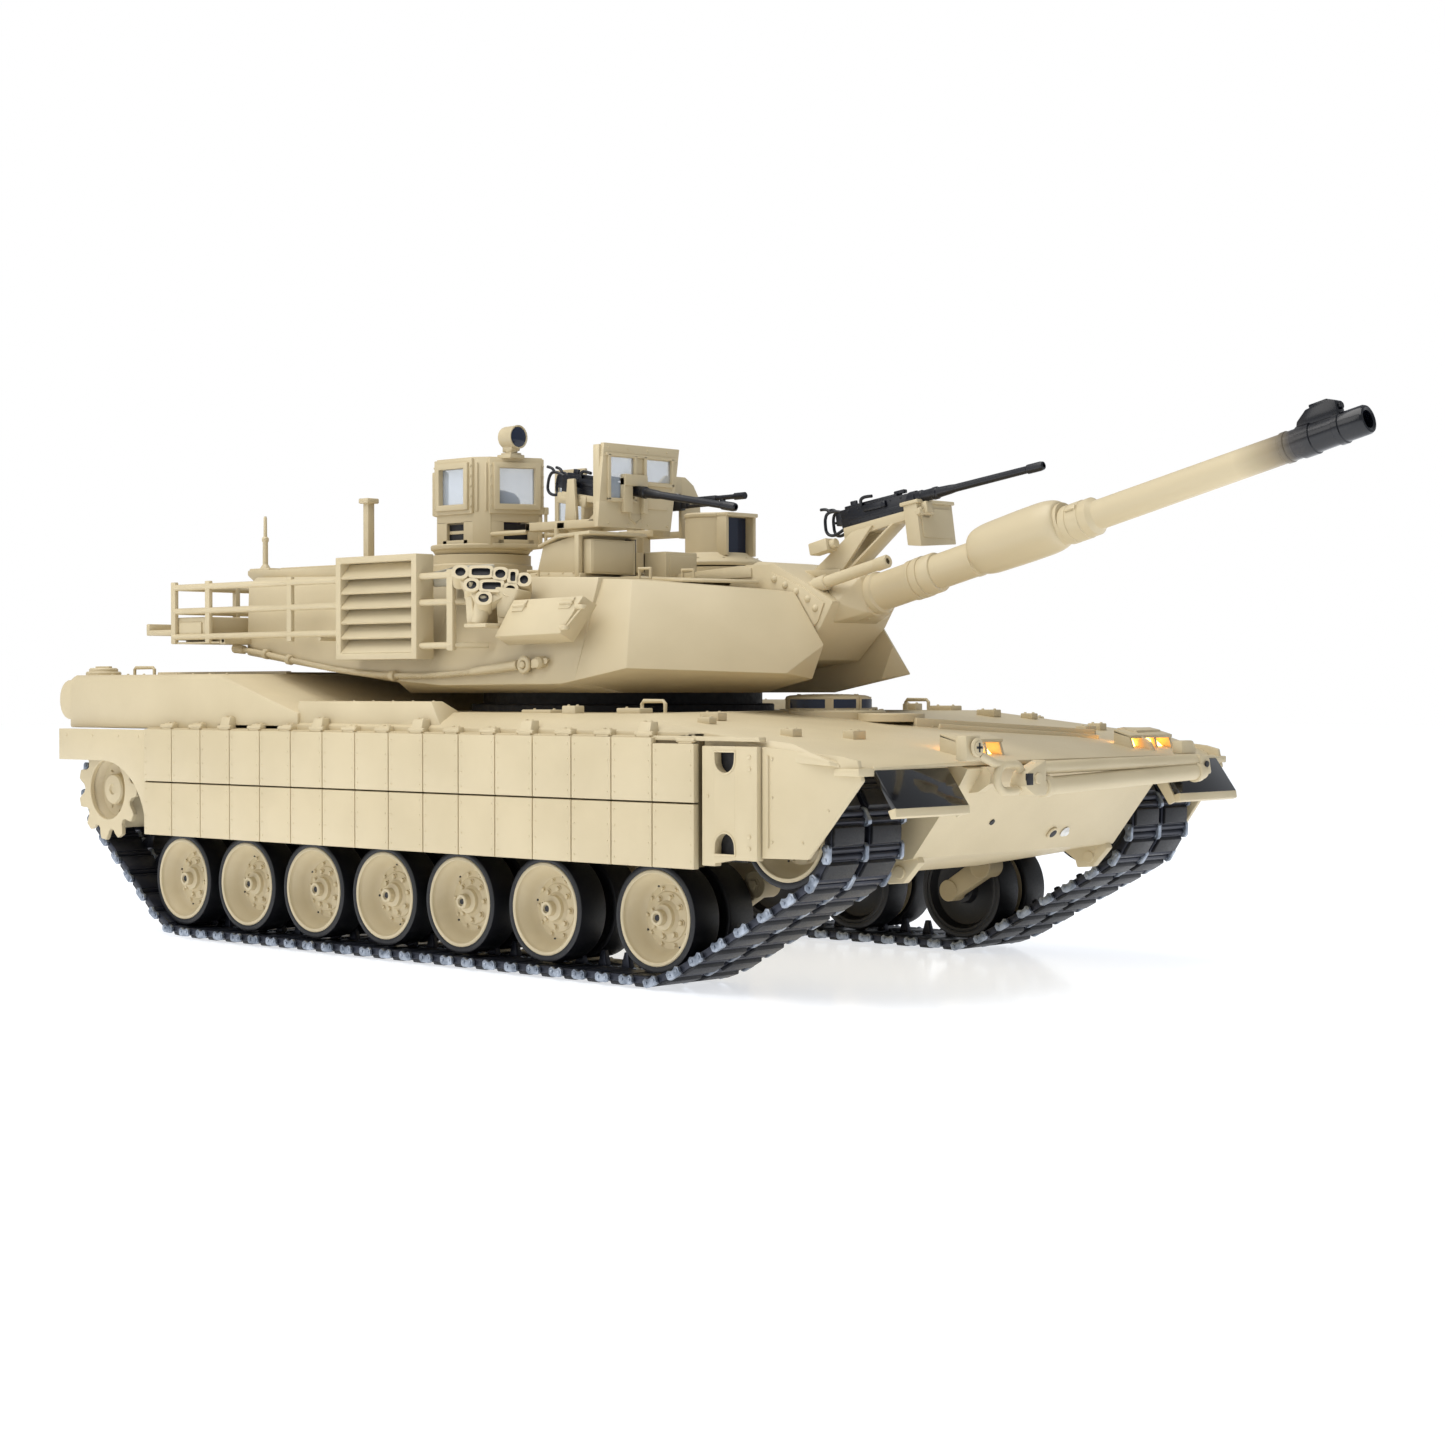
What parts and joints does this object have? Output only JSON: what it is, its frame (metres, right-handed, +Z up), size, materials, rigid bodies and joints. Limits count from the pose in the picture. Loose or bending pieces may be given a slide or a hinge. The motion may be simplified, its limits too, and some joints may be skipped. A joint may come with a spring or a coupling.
{
  "type": "remote-control tank",
  "caption": "Tracked model tank driven by remote control: tiled side skirts, traversing turret, elevating long gun, rear stowage rack and pivoting roof guns.",
  "frame": {"origin": "centre of the bounding box at ground level", "axes": "+X forward along the gun, +Y to the left side, +Z up"},
  "size_m": [0.5884, 0.239, 0.2152],
  "materials": {
    "sand_paint": "satin sand paint over moulded plastic",
    "sand_metal": "satin sand paint over turned metal, black at the muzzle",
    "black_gloss": "glossy black",
    "black_satin": "satin black",
    "track": "dark gunmetal links with black pads and pale end lugs",
    "wheel": "sand dish with a black tyre",
    "sprocket": "sand ring with dark teeth",
    "steel": "plain steel",
    "gearbox": "cast and turned",
    "battery": "shrink wrapped"
  },
  "bodies": {
    "hull": {"lower_hull": "sand_paint", "upper_hull": "sand_paint", "skirt_right": "sand_paint", "skirt_left": "sand_paint", "mudguard_right": "black_gloss", "mudguard_left": "black_gloss", "tow_bar": "sand_paint", "track_right": "track", "track_left": "track", "gearbox_right": "gearbox", "gearbox_left": "gearbox", "battery_pack": "battery"},
    "turret": {"turret_shell": "sand_paint", "bustle_rack": "sand_paint", "gunner_sight": "sand_paint"},
    "gun_cradle": {"mantlet": "sand_paint", "mantlet_gun": "black_satin"},
    "barrel": {"barrel": "sand_metal"},
    "cupola": {"cupola_shield": "sand_paint", "commander_gun_shield": "sand_paint"},
    "commander_gun": {"commander_gun": "black_satin"},
    "commander_hatch": {"commander_hatch": "sand_paint"},
    "loader_hatch": {"loader_hatch": "sand_paint"},
    "loader_ring": {"loader_ring": "sand_paint"},
    "loader_gun": {"loader_gun": "black_satin"},
    "panoramic_sight": {"panoramic_sight": "sand_paint"},
    "spotlight": {"spotlight": "black_satin"},
    "driver_hatch": {"driver_hatch": "sand_paint"},
    "sprocket_right": {"sprocket_right": "sprocket"},
    "idler_right": {"idler_right": "wheel"},
    "arm_right_1": {"arm_right_1": "steel"},
    "wheel_right_1": {"wheel_right_1": "wheel"},
    "arm_right_2": {"arm_right_2": "steel"},
    "wheel_right_2": {"wheel_right_2": "wheel"},
    "arm_right_3": {"arm_right_3": "steel"},
    "wheel_right_3": {"wheel_right_3": "wheel"},
    "arm_right_4": {"arm_right_4": "steel"},
    "wheel_right_4": {"wheel_right_4": "wheel"},
    "arm_right_5": {"arm_right_5": "steel"},
    "wheel_right_5": {"wheel_right_5": "wheel"},
    "arm_right_6": {"arm_right_6": "steel"},
    "wheel_right_6": {"wheel_right_6": "wheel"},
    "arm_right_7": {"arm_right_7": "steel"},
    "wheel_right_7": {"wheel_right_7": "wheel"},
    "sprocket_left": {"sprocket_left": "sprocket"},
    "idler_left": {"idler_left": "wheel"},
    "arm_left_1": {"arm_left_1": "steel"},
    "wheel_left_1": {"wheel_left_1": "wheel"},
    "arm_left_2": {"arm_left_2": "steel"},
    "wheel_left_2": {"wheel_left_2": "wheel"},
    "arm_left_3": {"arm_left_3": "steel"},
    "wheel_left_3": {"wheel_left_3": "wheel"},
    "arm_left_4": {"arm_left_4": "steel"},
    "wheel_left_4": {"wheel_left_4": "wheel"},
    "arm_left_5": {"arm_left_5": "steel"},
    "wheel_left_5": {"wheel_left_5": "wheel"},
    "arm_left_6": {"arm_left_6": "steel"},
    "wheel_left_6": {"wheel_left_6": "wheel"},
    "arm_left_7": {"arm_left_7": "steel"},
    "wheel_left_7": {"wheel_left_7": "wheel"}
  },
  "joints": [
    {"name": "turret_traverse", "type": "hinge", "parent": "hull", "child": "turret", "pos_m": [-0.05073, 0, 0.105], "axis": [0, 0, 1], "continuous": true},
    {"name": "gun_elevation", "type": "hinge", "parent": "turret", "child": "gun_cradle", "pos_m": [0.03727, 0, 0.1305], "axis": [0, -1, 0], "range_deg": [-22, 6]},
    {"name": "barrel_recoil", "type": "slide", "parent": "gun_cradle", "child": "barrel", "axis": [-0.9703, 0, -0.2419], "range_m": [0, 0.012], "stiffness_N_per_m": 300, "springref_m": -0.006},
    {"name": "cupola_traverse", "type": "hinge", "parent": "turret", "child": "cupola", "pos_m": [-0.10073, -0.034, 0.163], "axis": [0, 0, 1], "range_deg": [-110, 15]},
    {"name": "commander_gun_elevation", "type": "hinge", "parent": "cupola", "child": "commander_gun", "pos_m": [-0.04073, -0.034, 0.1892], "axis": [0, -1, 0], "range_deg": [-8, 4]},
    {"name": "commander_hatch_hinge", "type": "hinge", "parent": "cupola", "child": "commander_hatch", "pos_m": [-0.11373, -0.034, 0.1646], "axis": [0, -1, 0], "range_deg": [0, 34]},
    {"name": "loader_hatch_hinge", "type": "hinge", "parent": "turret", "child": "loader_hatch", "pos_m": [-0.10713, 0.034, 0.1576], "axis": [0, -1, 0], "range_deg": [0, 74]},
    {"name": "loader_ring_traverse", "type": "hinge", "parent": "turret", "child": "loader_ring", "pos_m": [-0.09473, 0.034, 0.1579], "axis": [0, 0, 1], "range_deg": [-10, 110]},
    {"name": "loader_gun_elevation", "type": "hinge", "parent": "loader_ring", "child": "loader_gun", "pos_m": [-0.07673, 0.034, 0.1856], "axis": [0, -1, 0], "range_deg": [-2, 4]},
    {"name": "panoramic_sight_traverse", "type": "hinge", "parent": "turret", "child": "panoramic_sight", "pos_m": [-0.02973, 0.034, 0.154], "axis": [0, 0, 1], "continuous": true},
    {"name": "spotlight_traverse", "type": "hinge", "parent": "cupola", "child": "spotlight", "pos_m": [-0.07773, -0.038, 0.204], "axis": [0, 0, 1], "range_deg": [-170, 170]},
    {"name": "driver_hatch_hinge", "type": "hinge", "parent": "hull", "child": "driver_hatch", "pos_m": [0.04647, 0, 0.1014], "axis": [0, -1, 0], "range_deg": [0, 22]},
    {"name": "sprocket_right_spin", "type": "hinge", "parent": "hull", "child": "sprocket_right", "pos_m": [-0.26173, -0.0889, 0.0625], "axis": [0, 1, 0], "continuous": true},
    {"name": "idler_right_spin", "type": "hinge", "parent": "hull", "child": "idler_right", "pos_m": [0.13187, -0.0889, 0.058], "axis": [0, 1, 0], "continuous": true},
    {"name": "arm_right_1_swing", "type": "hinge", "parent": "hull", "child": "arm_right_1", "pos_m": [0.08747, -0.0669, 0.0359], "axis": [0, 1, 0], "range_deg": [0, 12], "stiffness_Nm_per_rad": 1, "springref_deg": -5.73},
    {"name": "wheel_right_1_spin", "type": "hinge", "parent": "arm_right_1", "child": "wheel_right_1", "pos_m": [0.06947, -0.0889, 0.0249], "axis": [0, 1, 0], "continuous": true},
    {"name": "arm_right_2_swing", "type": "hinge", "parent": "hull", "child": "arm_right_2", "pos_m": [0.03027, -0.0669, 0.0359], "axis": [0, 1, 0], "range_deg": [0, 12], "stiffness_Nm_per_rad": 1, "springref_deg": -5.73},
    {"name": "wheel_right_2_spin", "type": "hinge", "parent": "arm_right_2", "child": "wheel_right_2", "pos_m": [0.01227, -0.0889, 0.0249], "axis": [0, 1, 0], "continuous": true},
    {"name": "arm_right_3_swing", "type": "hinge", "parent": "hull", "child": "arm_right_3", "pos_m": [-0.01733, -0.0669, 0.0359], "axis": [0, 1, 0], "range_deg": [0, 12], "stiffness_Nm_per_rad": 1, "springref_deg": -5.73},
    {"name": "wheel_right_3_spin", "type": "hinge", "parent": "arm_right_3", "child": "wheel_right_3", "pos_m": [-0.03533, -0.0889, 0.0249], "axis": [0, 1, 0], "continuous": true},
    {"name": "arm_right_4_swing", "type": "hinge", "parent": "hull", "child": "arm_right_4", "pos_m": [-0.06223, -0.0669, 0.0359], "axis": [0, 1, 0], "range_deg": [0, 12], "stiffness_Nm_per_rad": 1, "springref_deg": -5.73},
    {"name": "wheel_right_4_spin", "type": "hinge", "parent": "arm_right_4", "child": "wheel_right_4", "pos_m": [-0.08023, -0.0889, 0.0249], "axis": [0, 1, 0], "continuous": true},
    {"name": "arm_right_5_swing", "type": "hinge", "parent": "hull", "child": "arm_right_5", "pos_m": [-0.10713, -0.0669, 0.0359], "axis": [0, 1, 0], "range_deg": [0, 12], "stiffness_Nm_per_rad": 1, "springref_deg": -5.73},
    {"name": "wheel_right_5_spin", "type": "hinge", "parent": "arm_right_5", "child": "wheel_right_5", "pos_m": [-0.12513, -0.0889, 0.0249], "axis": [0, 1, 0], "continuous": true},
    {"name": "arm_right_6_swing", "type": "hinge", "parent": "hull", "child": "arm_right_6", "pos_m": [-0.15203, -0.0669, 0.0359], "axis": [0, 1, 0], "range_deg": [0, 12], "stiffness_Nm_per_rad": 1, "springref_deg": -5.73},
    {"name": "wheel_right_6_spin", "type": "hinge", "parent": "arm_right_6", "child": "wheel_right_6", "pos_m": [-0.17003, -0.0889, 0.0249], "axis": [0, 1, 0], "continuous": true},
    {"name": "arm_right_7_swing", "type": "hinge", "parent": "hull", "child": "arm_right_7", "pos_m": [-0.19693, -0.0669, 0.0359], "axis": [0, 1, 0], "range_deg": [0, 12], "stiffness_Nm_per_rad": 1, "springref_deg": -5.73},
    {"name": "wheel_right_7_spin", "type": "hinge", "parent": "arm_right_7", "child": "wheel_right_7", "pos_m": [-0.21493, -0.0889, 0.0249], "axis": [0, 1, 0], "continuous": true},
    {"name": "sprocket_left_spin", "type": "hinge", "parent": "hull", "child": "sprocket_left", "pos_m": [-0.26173, 0.0889, 0.0625], "axis": [0, 1, 0], "continuous": true},
    {"name": "idler_left_spin", "type": "hinge", "parent": "hull", "child": "idler_left", "pos_m": [0.13187, 0.0889, 0.058], "axis": [0, 1, 0], "continuous": true},
    {"name": "arm_left_1_swing", "type": "hinge", "parent": "hull", "child": "arm_left_1", "pos_m": [0.08747, 0.0669, 0.0359], "axis": [0, 1, 0], "range_deg": [0, 12], "stiffness_Nm_per_rad": 1, "springref_deg": -5.73},
    {"name": "wheel_left_1_spin", "type": "hinge", "parent": "arm_left_1", "child": "wheel_left_1", "pos_m": [0.06947, 0.0889, 0.0249], "axis": [0, 1, 0], "continuous": true},
    {"name": "arm_left_2_swing", "type": "hinge", "parent": "hull", "child": "arm_left_2", "pos_m": [0.03027, 0.0669, 0.0359], "axis": [0, 1, 0], "range_deg": [0, 12], "stiffness_Nm_per_rad": 1, "springref_deg": -5.73},
    {"name": "wheel_left_2_spin", "type": "hinge", "parent": "arm_left_2", "child": "wheel_left_2", "pos_m": [0.01227, 0.0889, 0.0249], "axis": [0, 1, 0], "continuous": true},
    {"name": "arm_left_3_swing", "type": "hinge", "parent": "hull", "child": "arm_left_3", "pos_m": [-0.01733, 0.0669, 0.0359], "axis": [0, 1, 0], "range_deg": [0, 12], "stiffness_Nm_per_rad": 1, "springref_deg": -5.73},
    {"name": "wheel_left_3_spin", "type": "hinge", "parent": "arm_left_3", "child": "wheel_left_3", "pos_m": [-0.03533, 0.0889, 0.0249], "axis": [0, 1, 0], "continuous": true},
    {"name": "arm_left_4_swing", "type": "hinge", "parent": "hull", "child": "arm_left_4", "pos_m": [-0.06223, 0.0669, 0.0359], "axis": [0, 1, 0], "range_deg": [0, 12], "stiffness_Nm_per_rad": 1, "springref_deg": -5.73},
    {"name": "wheel_left_4_spin", "type": "hinge", "parent": "arm_left_4", "child": "wheel_left_4", "pos_m": [-0.08023, 0.0889, 0.0249], "axis": [0, 1, 0], "continuous": true},
    {"name": "arm_left_5_swing", "type": "hinge", "parent": "hull", "child": "arm_left_5", "pos_m": [-0.10713, 0.0669, 0.0359], "axis": [0, 1, 0], "range_deg": [0, 12], "stiffness_Nm_per_rad": 1, "springref_deg": -5.73},
    {"name": "wheel_left_5_spin", "type": "hinge", "parent": "arm_left_5", "child": "wheel_left_5", "pos_m": [-0.12513, 0.0889, 0.0249], "axis": [0, 1, 0], "continuous": true},
    {"name": "arm_left_6_swing", "type": "hinge", "parent": "hull", "child": "arm_left_6", "pos_m": [-0.15203, 0.0669, 0.0359], "axis": [0, 1, 0], "range_deg": [0, 12], "stiffness_Nm_per_rad": 1, "springref_deg": -5.73},
    {"name": "wheel_left_6_spin", "type": "hinge", "parent": "arm_left_6", "child": "wheel_left_6", "pos_m": [-0.17003, 0.0889, 0.0249], "axis": [0, 1, 0], "continuous": true},
    {"name": "arm_left_7_swing", "type": "hinge", "parent": "hull", "child": "arm_left_7", "pos_m": [-0.19693, 0.0669, 0.0359], "axis": [0, 1, 0], "range_deg": [0, 12], "stiffness_Nm_per_rad": 1, "springref_deg": -5.73},
    {"name": "wheel_left_7_spin", "type": "hinge", "parent": "arm_left_7", "child": "wheel_left_7", "pos_m": [-0.21493, 0.0889, 0.0249], "axis": [0, 1, 0], "continuous": true}
  ],
  "couplings": [
    {"joint": "idler_right_spin", "follows": "sprocket_right_spin", "ratio": 1.0699},
    {"joint": "wheel_right_1_spin", "follows": "sprocket_right_spin", "ratio": 1.0699},
    {"joint": "wheel_right_2_spin", "follows": "sprocket_right_spin", "ratio": 1.0699},
    {"joint": "wheel_right_3_spin", "follows": "sprocket_right_spin", "ratio": 1.0699},
    {"joint": "wheel_right_4_spin", "follows": "sprocket_right_spin", "ratio": 1.0699},
    {"joint": "wheel_right_5_spin", "follows": "sprocket_right_spin", "ratio": 1.0699},
    {"joint": "wheel_right_6_spin", "follows": "sprocket_right_spin", "ratio": 1.0699},
    {"joint": "wheel_right_7_spin", "follows": "sprocket_right_spin", "ratio": 1.0699},
    {"joint": "idler_left_spin", "follows": "sprocket_left_spin", "ratio": 1.0699},
    {"joint": "wheel_left_1_spin", "follows": "sprocket_left_spin", "ratio": 1.0699},
    {"joint": "wheel_left_2_spin", "follows": "sprocket_left_spin", "ratio": 1.0699},
    {"joint": "wheel_left_3_spin", "follows": "sprocket_left_spin", "ratio": 1.0699},
    {"joint": "wheel_left_4_spin", "follows": "sprocket_left_spin", "ratio": 1.0699},
    {"joint": "wheel_left_5_spin", "follows": "sprocket_left_spin", "ratio": 1.0699},
    {"joint": "wheel_left_6_spin", "follows": "sprocket_left_spin", "ratio": 1.0699},
    {"joint": "wheel_left_7_spin", "follows": "sprocket_left_spin", "ratio": 1.0699}
  ]
}
